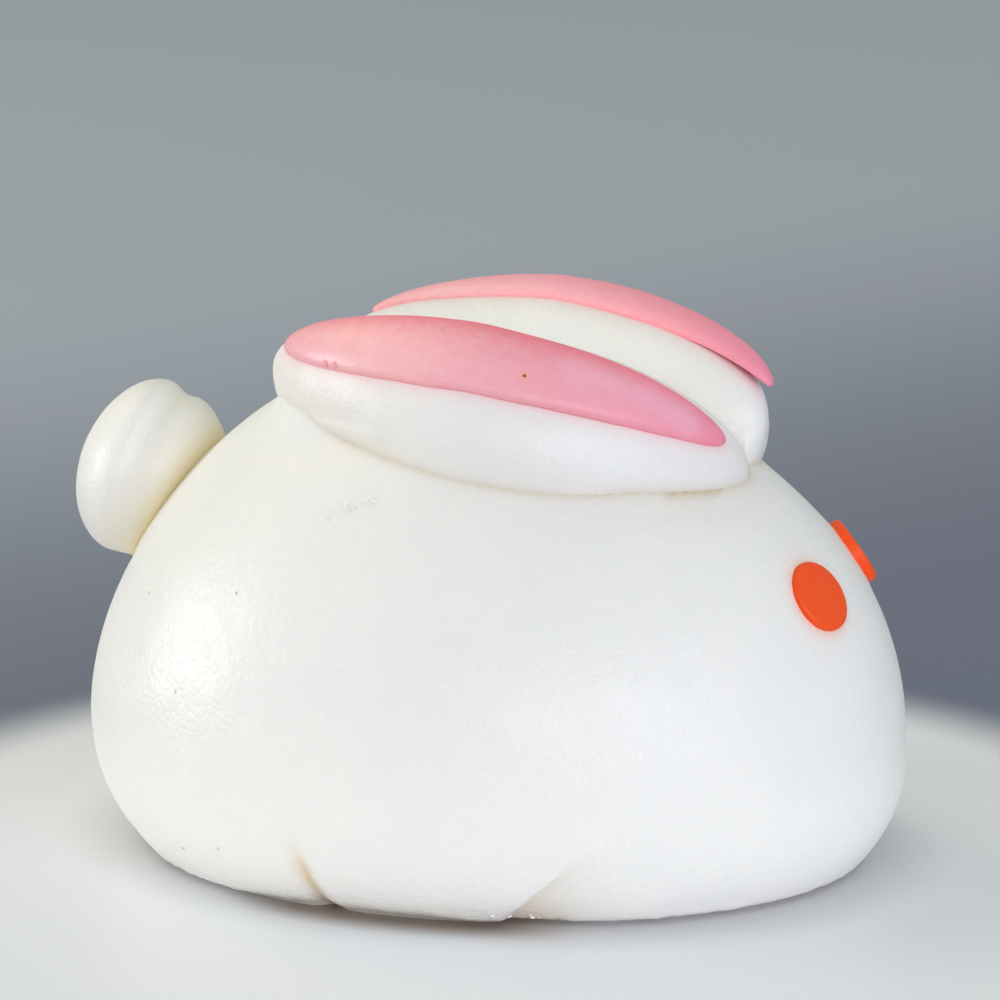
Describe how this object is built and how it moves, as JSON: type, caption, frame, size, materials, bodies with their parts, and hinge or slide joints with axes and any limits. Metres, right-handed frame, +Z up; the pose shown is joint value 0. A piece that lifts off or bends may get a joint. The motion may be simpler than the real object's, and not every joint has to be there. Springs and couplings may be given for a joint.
{
  "type": "steamed bun",
  "caption": "Steamed white dough bun shaped like a sitting rabbit, with pink-lined ears laid along its back, punched orange eyes and a ball tail, resting on its flat underside.",
  "frame": {"origin": "on the flat underside, at the foot of the upright axis through the middle of the body", "axes": "+X towards the rabbit's nose, +Y towards its left side, +Z up"},
  "size_m": [0.0712, 0.0573, 0.0467],
  "materials": {
    "white_dough": "smooth satin skin of steamed wheat dough",
    "pink_dough": "smooth satin skin of tinted steamed dough",
    "orange_disc": "smooth, slightly moist satin face of a punched disc"
  },
  "bodies": {
    "root": {"body": "white_dough", "ear_right": "white_dough", "ear_left": "white_dough", "inner_ear_right": "pink_dough", "inner_ear_left": "pink_dough", "eye_right": "orange_disc", "eye_left": "orange_disc", "tail": "white_dough"}
  },
  "joints": []
}
